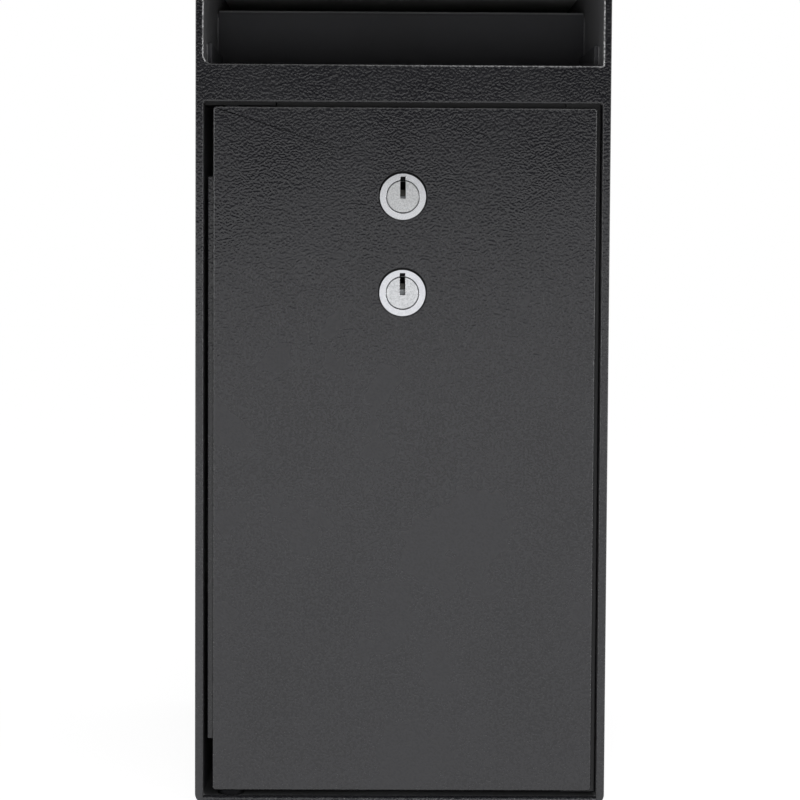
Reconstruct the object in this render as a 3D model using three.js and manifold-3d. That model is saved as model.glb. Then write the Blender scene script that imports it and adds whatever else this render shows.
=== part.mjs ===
// A narrow drop safe for the underside of a counter: a steel case with an open deposit hopper at the top
// front and, below it, a flush door held shut by two key locks, each with its own sliding bolt.
// Sizes are millimetres. X runs to the right as seen from the front, Y to the back and Z up.
// The origin is on the surface the safe stands on, under the middle of the case.

import * as THREE from "three";
import { mergeVertices } from "three/addons/utils/BufferGeometryUtils.js";
import Module from "manifold-3d";

// Case
const body_width = 152;
const body_depth = 216;
const body_height = 312;
const plate = 3;
const bend_outer_radius = 4;
const weld_gap = 0.2;

// Deposit hopper
const slot_height = 35.7;
const crossbar_height = 13.7;
const slot_corner_radius = 3.3;
const weld_corner_radius = 1;
const chute_sheet = 1.5;
const chute_side_gap = 0.4;
const baffle_depth = 81;
const envelope_gap = 8.3;
const flange_height = 9;
const flange_setback = 17;
const hem_height = 6;

// Holes for screws into a counter or a wall
const mount_hole_radius = 4.5;
const top_hole_spacing_x = 92;
const top_hole_spacing_y = 150;
const back_hole_spacing_z = 180;

// Door
const door_plate = 3;
const door_recess = 0.4;
const door_top_gap = 1.8;
const door_bottom_gap = 2.4;
const hinge_side_gap = 3.5;
const lock_side_gap = 2;
const door_corner_radius = 1.2;
const seat_gap = 0.3;

// Hinge
const pivot_inset_x = 6.5;
const pivot_inset_y = 6.3;
const pin_radius = 3;
const pin_clearance = 0.3;
const hinge_block_width = 13;
const hinge_block_depth = 9;
const hinge_block_height = 13;
const washer_radius = 5;
const washer_play = 0.2;
const lintel_width = 26;
const lintel_depth = 16;
const lintel_thickness = 4.4;
const lintel_door_gap = 0.6;
const pin_floor_gap = 0.6;
const pin_block_inset = 1;

// Stiffener behind the hinge edge of the door
const stiffener_overlap = 2.2;
const stiffener_width = 12;
const stiffener_thickness = 4;
const stiffener_bottom_margin = 18.6;
const stiffener_top_margin = 25.4;

// Jamb that the bolts slide behind, and the strip that stops the door's top edge
const jamb_width = 13;
const jamb_thickness = 5;
const door_stop_gap = 0.6;
const stop_thickness = 3;
const stop_overlap = 5;

// Bolts
const bolt_throw = 17;
const bolt_thickness = 4;
const bolt_running_gap = 0.9;
const bolt_edge = 3.5;
const bolt_wall_gap = 1.2;
const tongue_height = 16;
const tongue_shoulder_gap = 4;
const guide_length = 12;
const guide_wall = 3;
const guide_clearance = 0.5;
const guide_wall_distance = 27;
const screw_radius = 2;
const screw_clearance = 0.4;
const screw_head_radius = 4;
const screw_head_thickness = 2;
const spacer_radius = 4;

// Locks
const upper_lock_drop = 32.5;
const lock_spacing = 35.3;
const lock_hole_clearance = 0.5;
const lock_face_recess = 0.8;
const lock_head_radius = 8.55;
const lock_body_radius = 8;
const lock_flat_half = 7.2;
const plug_radius = 5.85;
const plug_clearance = 0.3;
const plug_recess = 0.15;
const lock_plate_thickness = 2;
const lock_plate_half_width = 20;
const lock_plate_margin = 17;
const nut_across_flats = 22;
const nut_running_gap = 0.9;
const cam_running_gap = 0.6;

// Keyway and the first wafer seen in it
const keyway_width = 2;
const keyway_below_axis = 0.7;
const keyway_top_radius = 7.3;
const keyway_depth = 10.5;
const wafer_thickness = 0.8;
const wafer_setback = 2;
const wafer_half_width = 2.2;
const wafer_reach_up = 4.6;
const wafer_reach_down = 3.9;
const wafer_gap = 0.25;
const wafer_window_half_width = 1.3;
const wafer_window_bottom = -2.4;
const wafer_bar_bottom = 1.3;
const wafer_bar_top = 3.5;
const upper_wafer_drop = 0.9;

// Cam, its drive pin and its screw
const cam_thickness = 2;
const cam_hub_radius = 7;
const cam_tip_radius = 4;
const tail_half = 3.2;
const tail_gap = 0.3;
const drive_pin_radius = 2;
const drive_pin_clearance = 0.3;
const drive_slot_clearance = 0.5;
const cam_screw_radius = 1.5;
const cam_screw_length = 7;
const cam_screw_head_radius = 4;
const cam_screw_head_thickness = 2.2;

// Cutters pass the faces they cut by this much
const overrun = 1;

// Facets in a full circle, for faces that show and for small parts
const fine_facets = 64;
const plain_facets = 32;

// Planes of the case and the door, worked out from the sizes above
const front = -body_depth / 2;
const back = body_depth / 2;
const inner_half_width = body_width / 2 - plate;
const bend_inner_radius = bend_outer_radius - plate;
const slot_top = body_height - plate;
const crossbar_top = slot_top - slot_height;
const crossbar_bottom = crossbar_top - crossbar_height;
const door_left = -inner_half_width + hinge_side_gap;
const door_right = inner_half_width - lock_side_gap;
const door_bottom = plate + door_bottom_gap;
const door_top = crossbar_bottom - door_top_gap;
const door_face = front + door_recess;
const door_back = door_face + door_plate;
const pivot_x = door_left + pivot_inset_x;
const pivot_y = door_face + pivot_inset_y;
const jamb_front = door_back + door_stop_gap;
const jamb_back = jamb_front + jamb_thickness;
const bolt_front = jamb_back + bolt_running_gap;
const bolt_back = bolt_front + bolt_thickness;
const fitting_front = door_back + seat_gap;
const chute_front = front + plate + weld_gap;
const baffle_front = front + baffle_depth;
const chute_top = slot_top - envelope_gap;
const chute_floor_bottom = crossbar_top - chute_sheet;
const upper_lock_z = door_top - upper_lock_drop;
const lower_lock_z = upper_lock_z - lock_spacing;

// Planes of the lock, from the door to the back of the cam
const lock_face = door_face + lock_face_recess;
const plug_face = lock_face + plug_recess;
const lock_plate_back = fitting_front + lock_plate_thickness;
const nut_front = lock_plate_back + seat_gap;
const nut_back = bolt_front - nut_running_gap;
const lock_back = bolt_back + cam_running_gap;
const cam_front = lock_back + seat_gap;
const cam_back = cam_front + cam_thickness;
const crank_radius = bolt_throw / Math.SQRT2;
const cam_rest_angle = -Math.PI / 4;

// Materials, with the colours of the photographed finish
const powder_coat = new THREE.MeshStandardMaterial({ color: 0x454547, roughness: 0.5, metalness: 0.1 });
const inner_coat = new THREE.MeshStandardMaterial({ color: 0x28282a, roughness: 0.6, metalness: 0.1 });
const bright_zinc = new THREE.MeshStandardMaterial({ color: 0xd6d8dc, roughness: 0.3, metalness: 1 });
const plug_zinc = new THREE.MeshStandardMaterial({ color: 0xc4c7ca, roughness: 0.4, metalness: 1 });
const plated_steel = new THREE.MeshStandardMaterial({ color: 0xa8aaab, roughness: 0.4, metalness: 1 });
const dark_steel = new THREE.MeshStandardMaterial({ color: 0x3c3d40, roughness: 0.5, metalness: 1 });
const wafer_metal = new THREE.MeshStandardMaterial({ color: 0xa5a39c, roughness: 0.4, metalness: 1 });

const wasm = await Module();
wasm.setup();

// A closed geometry as a solid that can be joined and cut.
function solidOf(geometry) {
  const bare = geometry.clone();
  bare.deleteAttribute("normal");
  bare.deleteAttribute("uv");
  const merged = mergeVertices(bare);
  return new wasm.Manifold(
    new wasm.Mesh({
      numProp: 3,
      vertProperties: new Float32Array(merged.attributes.position.array),
      triVerts: new Uint32Array(merged.index.array),
    }),
  );
}

// A solid back as a geometry with flat faces.
function geometryOf(solid) {
  const mesh = solid.getMesh();
  const geometry = new THREE.BufferGeometry();
  geometry.setAttribute("position", new THREE.BufferAttribute(mesh.vertProperties, mesh.numProp));
  geometry.setIndex(new THREE.BufferAttribute(mesh.triVerts, 1));
  const faceted = geometry.toNonIndexed();
  faceted.computeVertexNormals();
  return faceted;
}

// The first geometry with the others cut out of it.
function cut(geometry, ...cutters) {
  return geometryOf(cutters.reduce((rest, cutter) => rest.subtract(solidOf(cutter)), solidOf(geometry)));
}

// Geometries that overlap, joined into one.
function join(...geometries) {
  return geometryOf(geometries.map(solidOf).reduce((whole, piece) => whole.add(piece)));
}

// A box between two corners.
function box(x0, x1, y0, y1, z0, z1) {
  const geometry = new THREE.BoxGeometry(x1 - x0, y1 - y0, z1 - z0);
  return geometry.translate((x0 + x1) / 2, (y0 + y1) / 2, (z0 + z1) / 2);
}

// A rod along Y or Z, with its axis through the local origin.
function rodAlongY(radius, y0, y1, facets) {
  const geometry = new THREE.CylinderGeometry(radius, radius, y1 - y0, facets);
  return geometry.translate(0, (y0 + y1) / 2, 0);
}
function rodAlongZ(radius, z0, z1, facets) {
  const geometry = new THREE.CylinderGeometry(radius, radius, z1 - z0, facets);
  return geometry.rotateX(Math.PI / 2).translate(0, 0, (z0 + z1) / 2);
}

// An outline in X and Z, drawn out from y0 to y1.
function extrudeAlongY(outline, y0, y1, facets) {
  const options = { depth: y1 - y0, bevelEnabled: false, curveSegments: facets };
  const geometry = new THREE.ExtrudeGeometry(outline, options);
  return geometryOf(solidOf(geometry.rotateX(Math.PI / 2).translate(0, y1, 0)));
}

// An outline in Y and Z, drawn out from x0 to x1.
function extrudeAlongX(outline, x0, x1) {
  const options = { depth: x1 - x0, bevelEnabled: false };
  const turn = new THREE.Matrix4().makeBasis(
    new THREE.Vector3(0, 1, 0),
    new THREE.Vector3(0, 0, 1),
    new THREE.Vector3(1, 0, 0),
  );
  return geometryOf(solidOf(new THREE.ExtrudeGeometry(outline, options).applyMatrix4(turn).translate(x0, 0, 0)));
}

// A rectangle with round corners, as a shape or as a hole in one.
function roundedRectangle(x0, x1, z0, z1, radius, Kind = THREE.Shape) {
  const path = new Kind();
  path.moveTo(x0 + radius, z0);
  path.lineTo(x1 - radius, z0);
  path.absarc(x1 - radius, z0 + radius, radius, -Math.PI / 2, 0, false);
  path.lineTo(x1, z1 - radius);
  path.absarc(x1 - radius, z1 - radius, radius, 0, Math.PI / 2, false);
  path.lineTo(x0 + radius, z1);
  path.absarc(x0 + radius, z1 - radius, radius, Math.PI / 2, Math.PI, false);
  path.lineTo(x0, z0 + radius);
  path.absarc(x0 + radius, z0 + radius, radius, Math.PI, (3 * Math.PI) / 2, false);
  return path;
}

// A circle with its top and bottom cut flat, as the body of a lock has.
function flattedCircle(radius, flat_half) {
  const edge = Math.asin(flat_half / radius);
  const path = new THREE.Shape();
  path.absarc(0, 0, radius, -edge, edge, false);
  path.absarc(0, 0, radius, Math.PI - edge, Math.PI + edge, false);
  path.closePath();
  return path;
}

// Adds a named mesh to a group, at a place given in the frame of the whole safe.
function place(group, name, geometry, material, x, y, z) {
  const mesh = new THREE.Mesh(geometry, material);
  mesh.name = name;
  group.updateWorldMatrix(true, false);
  group.worldToLocal(mesh.position.set(x, y, z));
  group.add(mesh);
}

// A group whose origin is at a place given in the frame of the whole safe.
function groupAt(parent, x, y, z) {
  const group = new THREE.Group();
  parent.updateWorldMatrix(true, false);
  parent.worldToLocal(group.position.set(x, y, z));
  parent.add(group);
  return group;
}

// The folded wrap: floor, sides and top in one band, with screw holes in the top and the lower pivot hole.
function bodyWrap() {
  const half = body_width / 2;
  const outline = roundedRectangle(-half, half, 0, body_height, bend_outer_radius);
  outline.holes.push(
    roundedRectangle(-inner_half_width, inner_half_width, plate, slot_top, bend_inner_radius, THREE.Path),
  );
  const holes = [-1, 1].flatMap((x_side) =>
    [-1, 1].map((y_side) =>
      rodAlongZ(mount_hole_radius, slot_top - overrun, body_height + overrun, plain_facets).translate(
        (x_side * top_hole_spacing_x) / 2,
        body_depth / 2 + (y_side * top_hole_spacing_y) / 2,
        0,
      ),
    ),
  );
  const pivot_hole = rodAlongZ(pin_radius + pin_clearance, -overrun, plate + overrun, plain_facets);
  pivot_hole.translate(pivot_x, pivot_y - front, 0);
  return cut(extrudeAlongY(outline, 0, body_depth, 4), ...holes, pivot_hole);
}

// The back plate, welded inside the rear of the wrap, with two holes for wall screws.
function backPlate() {
  const half = inner_half_width - weld_gap;
  const outline = roundedRectangle(-half, half, plate + weld_gap, slot_top - weld_gap, bend_inner_radius);
  const holes = [-1, 1].map((side) =>
    rodAlongY(mount_hole_radius, -overrun, plate + overrun, plain_facets).translate(
      0,
      0,
      body_height / 2 + (side * back_hole_spacing_z) / 2,
    ),
  );
  return cut(extrudeAlongY(outline, 0, plate, 4), ...holes);
}

// The crossbar between the slot and the door, with the weld fillets in its corners. Its bottom edge is at 0.
function crossbar() {
  const half = inner_half_width - weld_gap;
  const big = slot_corner_radius;
  const small = weld_corner_radius;
  const top = crossbar_height;
  const outline = new THREE.Shape();
  outline.moveTo(-half, -small);
  outline.absarc(-half + small, -small, small, Math.PI, Math.PI / 2, true);
  outline.lineTo(half - small, 0);
  outline.absarc(half - small, -small, small, Math.PI / 2, 0, true);
  outline.lineTo(half, top + small);
  outline.absarc(half - small, top + small, small, 0, -Math.PI / 2, true);
  outline.lineTo(-half + big, top);
  outline.absarc(-half + big, top + big, big, -Math.PI / 2, -Math.PI, true);
  outline.closePath();
  return extrudeAlongY(outline, 0, plate, 6);
}

// The folded chute: a floor behind the crossbar, an upright baffle with a hemmed top and two side flanges.
// Its origin is at the front of its floor, level with the crossbar's top.
function chute() {
  const half = inner_half_width - chute_side_gap;
  const length = baffle_front - chute_front;
  const rise = chute_top - crossbar_top;
  const hem_back = length + chute_sheet + chute_sheet;
  const flange_front = flange_setback - plate - weld_gap;
  const floor = box(-half, half, 0, length + chute_sheet, -chute_sheet, 0);
  const baffle = box(-half, half, length, length + chute_sheet, -chute_sheet, rise - chute_sheet);
  const hem = box(-half, half, length, hem_back, rise - hem_height, rise - chute_sheet);
  const roll = new THREE.CylinderGeometry(chute_sheet, chute_sheet, half + half, plain_facets);
  roll.rotateZ(Math.PI / 2).translate(0, length + chute_sheet, rise - chute_sheet);
  const flanges = [-1, 1].map((side) => {
    const outer = side * half;
    const inner = side * (half - chute_sheet);
    const x0 = Math.min(outer, inner);
    const x1 = Math.max(outer, inner);
    return box(x0, x1, flange_front, length + chute_sheet, -chute_sheet, flange_height);
  });
  return join(floor, baffle, hem, roll, ...flanges);
}

// A block with the bore of a hinge pin, whose axis is the local Z axis.
function pivotBlock(x0, x1, y0, y1, z0, z1) {
  const bore = rodAlongZ(pin_radius + pin_clearance, z0 - overrun, z1 + overrun, plain_facets);
  return cut(box(x0, x1, y0, y1, z0, z1), bore);
}

// The door's face plate with its two lock holes, from its bottom left corner.
function doorPanel() {
  const width = door_right - door_left;
  const height = door_top - door_bottom;
  const outline = roundedRectangle(0, width, 0, height, door_corner_radius);
  for (const z of [upper_lock_z, lower_lock_z]) {
    const hole = new THREE.Path();
    hole.absarc(-door_left, z - door_bottom, lock_head_radius + lock_hole_clearance, 0, 2 * Math.PI, false);
    outline.holes.push(hole);
  }
  return extrudeAlongY(outline, 0, door_plate, plain_facets);
}

// The plate behind the door that both locks are clamped to. Its origin is midway between the locks.
function lockPlate() {
  const half_height = lock_spacing / 2 + lock_plate_margin;
  const width = lock_plate_half_width;
  const holes = [-1, 1].map((side) => {
    const outline = flattedCircle(lock_body_radius + seat_gap, lock_flat_half + seat_gap);
    const hole = extrudeAlongY(outline, -overrun, lock_plate_thickness + overrun, plain_facets);
    return hole.translate(0, 0, (side * lock_spacing) / 2);
  });
  return cut(box(-width, width, 0, lock_plate_thickness, -half_height, half_height), ...holes);
}

// Geometry of one lock. Its parts are drawn round the lock's axis, with Y measured from the front of the case.
const face_y = lock_face - front;
const plug_y = plug_face - front;
const head_back_y = fitting_front - seat_gap - front;
const lock_back_y = lock_back - front;
const cam_front_y = cam_front - front;
const cam_back_y = cam_back - front;
const bolt_front_y = bolt_front - front;
const bolt_back_y = bolt_back - front;
const fitting_y = fitting_front - front;
const crank_x = crank_radius * Math.sin(cam_rest_angle);
const crank_z = crank_radius * Math.cos(cam_rest_angle);

// The lock's housing: a round head in the door's hole, a flatted body and the bore for the plug.
function lockHousing() {
  const head = rodAlongY(lock_head_radius, face_y, head_back_y, fine_facets);
  const body = extrudeAlongY(flattedCircle(lock_body_radius, lock_flat_half), face_y, lock_back_y, plain_facets);
  const bore = rodAlongY(plug_radius + plug_clearance, face_y - overrun, lock_back_y + overrun, fine_facets);
  const half = keyway_width / 2;
  const notch = box(-half, half, face_y - overrun, head_back_y - seat_gap, 0, keyway_top_radius);
  return cut(join(head, body), bore, notch);
}

// The plug with its keyway, the slot for the first wafer, a square tail and the cam screw's hole.
function lockPlug() {
  const barrel = rodAlongY(plug_radius, plug_y, lock_back_y, fine_facets);
  const tail = box(-tail_half, tail_half, plug_y + overrun, cam_back_y, -tail_half, tail_half);
  const half = keyway_width / 2;
  const reach = plug_radius + overrun;
  const keyway = box(-half, half, plug_y - overrun, plug_y + keyway_depth, -keyway_below_axis, reach);
  const wafer_y = plug_y + wafer_setback;
  const slot = box(
    -wafer_half_width - wafer_gap,
    wafer_half_width + wafer_gap,
    wafer_y - wafer_gap,
    wafer_y + wafer_thickness + wafer_gap,
    -wafer_reach_down - upper_wafer_drop - wafer_gap,
    reach,
  );
  const hole_end = cam_back_y - cam_screw_length;
  const screw_hole = rodAlongY(cam_screw_radius + seat_gap, hole_end, cam_back_y + overrun, plain_facets);
  return cut(join(barrel, tail), keyway, slot, screw_hole);
}

// The first wafer tumbler: its bar crosses the keyway, between a window and an open notch for the key.
function wafer() {
  const y0 = plug_y + wafer_setback;
  const y1 = y0 + wafer_thickness;
  const plate_part = box(-wafer_half_width, wafer_half_width, y0, y1, -wafer_reach_down, wafer_reach_up);
  const half = wafer_window_half_width;
  const window_part = box(-half, half, y0 - overrun, y1 + overrun, wafer_window_bottom, wafer_bar_bottom);
  const notch = box(-half, half, y0 - overrun, y1 + overrun, wafer_bar_top, wafer_reach_up + overrun);
  return cut(plate_part, window_part, notch);
}

// The hexagonal nut that clamps the lock to its plate.
function lockNut() {
  const corner_radius = nut_across_flats / Math.sqrt(3);
  const hexagon = rodAlongY(corner_radius, nut_front - front, nut_back - front, 6);
  const bore_radius = lock_body_radius + seat_gap;
  return cut(hexagon, rodAlongY(bore_radius, nut_front - front - overrun, nut_back - front + overrun, fine_facets));
}

// The cam: a link from the plug's square tail to the drive pin, turned to its rest angle.
function cam() {
  const slope = Math.asin((cam_hub_radius - cam_tip_radius) / crank_radius);
  const outline = new THREE.Shape();
  outline.absarc(0, crank_radius, cam_tip_radius, slope, Math.PI - slope, false);
  outline.absarc(0, 0, cam_hub_radius, Math.PI - slope, 2 * Math.PI + slope, false);
  outline.closePath();
  const link = extrudeAlongY(outline, cam_front_y, cam_back_y, plain_facets).rotateY(cam_rest_angle);
  const hole_half = tail_half + tail_gap;
  const square = box(-hole_half, hole_half, cam_front_y - overrun, cam_back_y + overrun, -hole_half, hole_half);
  const pin_hole_radius = drive_pin_radius + drive_pin_clearance;
  const pin_hole = rodAlongY(pin_hole_radius, cam_front_y - overrun, cam_back_y + overrun, plain_facets);
  return cut(link, square, pin_hole.translate(crank_x, 0, crank_z));
}

// The drive pin, riveted in the cam and standing forward through the bolt.
function drivePin() {
  return rodAlongY(drive_pin_radius, bolt_front_y + seat_gap, cam_back_y, plain_facets);
}

// The screw that holds the cam on the plug.
function camScrew() {
  const head_front = cam_back_y + seat_gap;
  const head_back = head_front + cam_screw_head_thickness;
  const head = rodAlongY(cam_screw_head_radius, head_front, head_back, plain_facets);
  const shank_end = cam_back_y - cam_screw_length + seat_gap;
  const shank = rodAlongY(cam_screw_radius, shank_end, head_front + overrun, plain_facets);
  return join(head, shank);
}

// Places along one bolt, in X from the lock's axis with the bolt drawn back.
const window_half_height = lock_flat_half + seat_gap;
const window_left = -(lock_body_radius + seat_gap + bolt_throw);
const window_right = lock_body_radius + seat_gap;
const drive_slot_half = drive_pin_radius + drive_slot_clearance;
const drive_slot_top = crank_radius + drive_slot_half;
const screw_slot_half = screw_radius + screw_clearance;
const screw_x = window_left - bolt_edge - screw_slot_half;
const bolt_left = screw_x - bolt_throw - screw_slot_half - bolt_edge;
const bolt_top = drive_slot_top + bolt_edge;
const bolt_bottom = -window_half_height - bolt_edge;
const bolt_tip = inner_half_width - bolt_wall_gap - bolt_throw;
const guide_right = inner_half_width - guide_wall_distance;
const guide_left = guide_right - guide_length;
const bolt_shoulder = guide_left - tongue_shoulder_gap - bolt_throw;
const tongue_half = tongue_height / 2;

// A flat bolt: a plate with a window round the lock, an upright slot for the drive pin, a slotted tail
// and a tongue that slides behind the jamb.
function bolt() {
  const outline = new THREE.Shape();
  outline.moveTo(bolt_left, -tongue_half);
  outline.lineTo(window_left - bolt_edge, -tongue_half);
  outline.lineTo(window_left - bolt_edge, bolt_bottom);
  outline.lineTo(bolt_shoulder, bolt_bottom);
  outline.lineTo(bolt_shoulder, -tongue_half);
  outline.lineTo(bolt_tip - bolt_edge, -tongue_half);
  outline.lineTo(bolt_tip, -tongue_half + bolt_edge);
  outline.lineTo(bolt_tip, tongue_half - bolt_edge);
  outline.lineTo(bolt_tip - bolt_edge, tongue_half);
  outline.lineTo(bolt_shoulder, tongue_half);
  outline.lineTo(bolt_shoulder, bolt_top);
  outline.lineTo(crank_x - drive_slot_half - bolt_edge, bolt_top);
  outline.lineTo(window_left - bolt_edge, tongue_half);
  outline.lineTo(bolt_left, tongue_half);
  outline.closePath();
  const blank = extrudeAlongY(outline, bolt_front_y, bolt_back_y, plain_facets);
  const y0 = bolt_front_y - overrun;
  const y1 = bolt_back_y + overrun;
  const window_cut = box(window_left, window_right, y0, y1, -window_half_height, window_half_height);
  const drive_straight = box(crank_x - drive_slot_half, crank_x + drive_slot_half, y0, y1, 0, crank_radius);
  const drive_round = rodAlongY(drive_slot_half, y0, y1, plain_facets).translate(crank_x, 0, crank_radius);
  const screw_slot = extrudeAlongY(
    roundedRectangle(
      screw_x - bolt_throw - screw_slot_half,
      screw_x + screw_slot_half,
      -screw_slot_half,
      screw_slot_half,
      screw_slot_half,
    ),
    y0,
    y1,
    plain_facets,
  );
  return cut(blank, window_cut, drive_straight, drive_round, screw_slot);
}

// The closed guide that the tongue slides through.
function boltGuide() {
  const inner_half = tongue_half + guide_clearance;
  const outer_half = inner_half + guide_wall;
  const window_front = bolt_front_y - guide_clearance;
  const window_back = bolt_back_y + guide_clearance;
  const outline = roundedRectangle(fitting_y, window_back + guide_wall, -outer_half, outer_half, weld_corner_radius);
  const hole = new THREE.Path();
  hole.moveTo(window_front, -inner_half);
  hole.lineTo(window_front, inner_half);
  hole.lineTo(window_back, inner_half);
  hole.lineTo(window_back, -inner_half);
  hole.closePath();
  outline.holes.push(hole);
  return extrudeAlongX(outline, guide_left, guide_right);
}

// The spacer under the bolt's tail, and the screw that holds the tail down on it.
function guideSpacer() {
  const y1 = bolt_front_y - seat_gap;
  const tube = rodAlongY(spacer_radius, fitting_y, y1, plain_facets);
  return cut(tube, rodAlongY(screw_radius + seat_gap, fitting_y - overrun, y1 + overrun, plain_facets));
}
function guideScrew() {
  const head_front = bolt_back_y + seat_gap;
  const shank = rodAlongY(screw_radius, fitting_y, head_front + overrun, plain_facets);
  return join(shank, rodAlongY(screw_head_radius, head_front, head_front + screw_head_thickness, plain_facets));
}

const safe = new THREE.Group();

// The fixed case
place(safe, "body_wrap", bodyWrap(), powder_coat, 0, front, 0);
place(safe, "back_plate", backPlate(), powder_coat, 0, back - plate, 0);
place(safe, "front_crossbar", crossbar(), powder_coat, 0, front, crossbar_bottom);
place(safe, "drop_chute", chute(), inner_coat, 0, chute_front, crossbar_top);

const jamb_right = inner_half_width - weld_gap;
const jamb_bottom = plate + bend_inner_radius + weld_gap;
const jamb_height = chute_floor_bottom - weld_gap - jamb_bottom;
const jamb = box(-jamb_width, 0, 0, jamb_thickness, 0, jamb_height);
place(safe, "lock_jamb", jamb, inner_coat, jamb_right, jamb_front, jamb_bottom);

const stop_left = -inner_half_width + weld_gap + lintel_width + weld_gap;
const stop_right = jamb_right - jamb_width - weld_gap;
const stop_bottom = door_top - stop_overlap;
const stop_height = chute_floor_bottom - weld_gap - stop_bottom;
const stop = box(stop_left, stop_right, 0, stop_thickness, 0, stop_height);
place(safe, "top_stop", stop, inner_coat, 0, jamb_front, stop_bottom);

const lintel_left = -inner_half_width + weld_gap - pivot_x;
const lintel_right = lintel_left + lintel_width;
const lintel_front = chute_front - pivot_y;
const lintel_bottom = door_top + lintel_door_gap;
const lintel = pivotBlock(lintel_left, lintel_right, lintel_front, lintel_depth, 0, lintel_thickness);
place(safe, "hinge_lintel", lintel, inner_coat, pivot_x, pivot_y, lintel_bottom);

const washer_height = door_bottom_gap - washer_play - washer_play;
const washer_bore = rodAlongZ(pin_radius + pin_clearance, -overrun, washer_height + overrun, plain_facets);
const washer = cut(rodAlongZ(washer_radius, 0, washer_height, plain_facets), washer_bore);
place(safe, "hinge_washer", washer, dark_steel, pivot_x, pivot_y, plate + washer_play);

// The door, which turns about its hinge pins
const door = groupAt(safe, pivot_x, pivot_y, 0);
place(door, "door_panel", doorPanel(), powder_coat, door_left, door_face, door_bottom);

const stiffener_bottom = door_bottom + stiffener_bottom_margin;
const stiffener_height = door_top - stiffener_top_margin - stiffener_bottom;
const stiffener = box(-stiffener_overlap, stiffener_width, 0, stiffener_thickness, 0, stiffener_height);
place(door, "hinge_stiffener", stiffener, inner_coat, door_left, fitting_front, stiffener_bottom);

const block_left = door_left + seat_gap - pivot_x;
const block_front = fitting_front - pivot_y;
const block_back = block_front + hinge_block_depth;
const block_right = block_left + hinge_block_width;
const block = pivotBlock(block_left, block_right, block_front, block_back, 0, hinge_block_height);
const upper_block_z = door_top - hinge_block_height;
place(door, "upper_hinge_block", block, inner_coat, pivot_x, pivot_y, upper_block_z);
place(door, "lower_hinge_block", block, inner_coat, pivot_x, pivot_y, door_bottom);

const upper_pin_bottom = upper_block_z + pin_block_inset;
const upper_pin_top = lintel_bottom + lintel_thickness;
const upper_pin = rodAlongZ(pin_radius, 0, upper_pin_top - upper_pin_bottom, plain_facets);
place(door, "upper_hinge_pin", upper_pin, dark_steel, pivot_x, pivot_y, upper_pin_bottom);
const lower_pin_top = door_bottom + hinge_block_height - pin_block_inset;
const lower_pin = rodAlongZ(pin_radius, 0, lower_pin_top - pin_floor_gap, plain_facets);
place(door, "lower_hinge_pin", lower_pin, dark_steel, pivot_x, pivot_y, pin_floor_gap);

const lock_plate_z = (upper_lock_z + lower_lock_z) / 2;
place(door, "lock_plate", lockPlate(), plated_steel, 0, fitting_front, lock_plate_z);

// The two locks are alike: a fixed housing, a plug that turns with its cam, and a bolt that slides
for (const [level, z] of [["upper", upper_lock_z], ["lower", lower_lock_z]]) {
  place(door, `${level}_lock_housing`, lockHousing(), bright_zinc, 0, front, z);
  place(door, `${level}_lock_nut`, lockNut(), plated_steel, 0, front, z);
  place(door, `${level}_bolt_guide`, boltGuide(), plated_steel, 0, front, z);
  place(door, `${level}_guide_spacer`, guideSpacer(), plated_steel, screw_x, front, z);
  place(door, `${level}_guide_screw`, guideScrew(), plated_steel, screw_x, front, z);

  const plug = groupAt(door, 0, front, z);
  place(plug, `${level}_lock_plug`, lockPlug(), plug_zinc, 0, front, z);
  const wafer_drop = level === "upper" ? upper_wafer_drop : 0;
  place(plug, `${level}_lock_wafer`, wafer(), wafer_metal, 0, front, z - wafer_drop);
  place(plug, `${level}_lock_cam`, cam(), plated_steel, 0, front, z);
  place(plug, `${level}_drive_pin`, drivePin(), dark_steel, crank_x, front, z + crank_z);
  place(plug, `${level}_cam_screw`, camScrew(), plated_steel, 0, front, z);

  const slide = groupAt(door, 0, front, z);
  place(slide, `${level}_bolt`, bolt(), plated_steel, 0, front, z);
}

export default safe;
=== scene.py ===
"""Looks of a narrow under-counter drop safe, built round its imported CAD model. Lengths are in metres."""

import math

import bmesh
import bpy
from mathutils import Matrix, Vector, noise


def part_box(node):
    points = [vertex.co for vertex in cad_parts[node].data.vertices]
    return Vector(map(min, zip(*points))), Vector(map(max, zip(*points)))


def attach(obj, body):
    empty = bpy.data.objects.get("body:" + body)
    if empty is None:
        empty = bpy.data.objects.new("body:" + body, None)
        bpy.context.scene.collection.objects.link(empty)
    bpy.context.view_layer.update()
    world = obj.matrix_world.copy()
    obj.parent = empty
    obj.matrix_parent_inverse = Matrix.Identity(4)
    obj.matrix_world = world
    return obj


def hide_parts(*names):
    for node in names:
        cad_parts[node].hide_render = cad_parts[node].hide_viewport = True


MM = 0.001
LEVELS = ("upper", "lower")

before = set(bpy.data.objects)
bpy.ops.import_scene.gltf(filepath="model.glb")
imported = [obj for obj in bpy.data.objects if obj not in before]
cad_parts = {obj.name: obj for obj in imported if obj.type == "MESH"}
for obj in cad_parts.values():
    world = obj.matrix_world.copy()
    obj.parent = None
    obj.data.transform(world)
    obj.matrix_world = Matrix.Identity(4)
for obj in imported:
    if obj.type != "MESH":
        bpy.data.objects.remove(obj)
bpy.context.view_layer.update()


# Mesh helpers.

def new_object(name, data):
    obj = bpy.data.objects.new(name, data)
    bpy.context.scene.collection.objects.link(obj)
    return obj


def object_from(name, verts, faces):
    mesh = bpy.data.meshes.new(name)
    mesh.from_pydata([tuple(v) for v in verts], [], faces)
    mesh.validate()
    return new_object(name, mesh)


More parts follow.
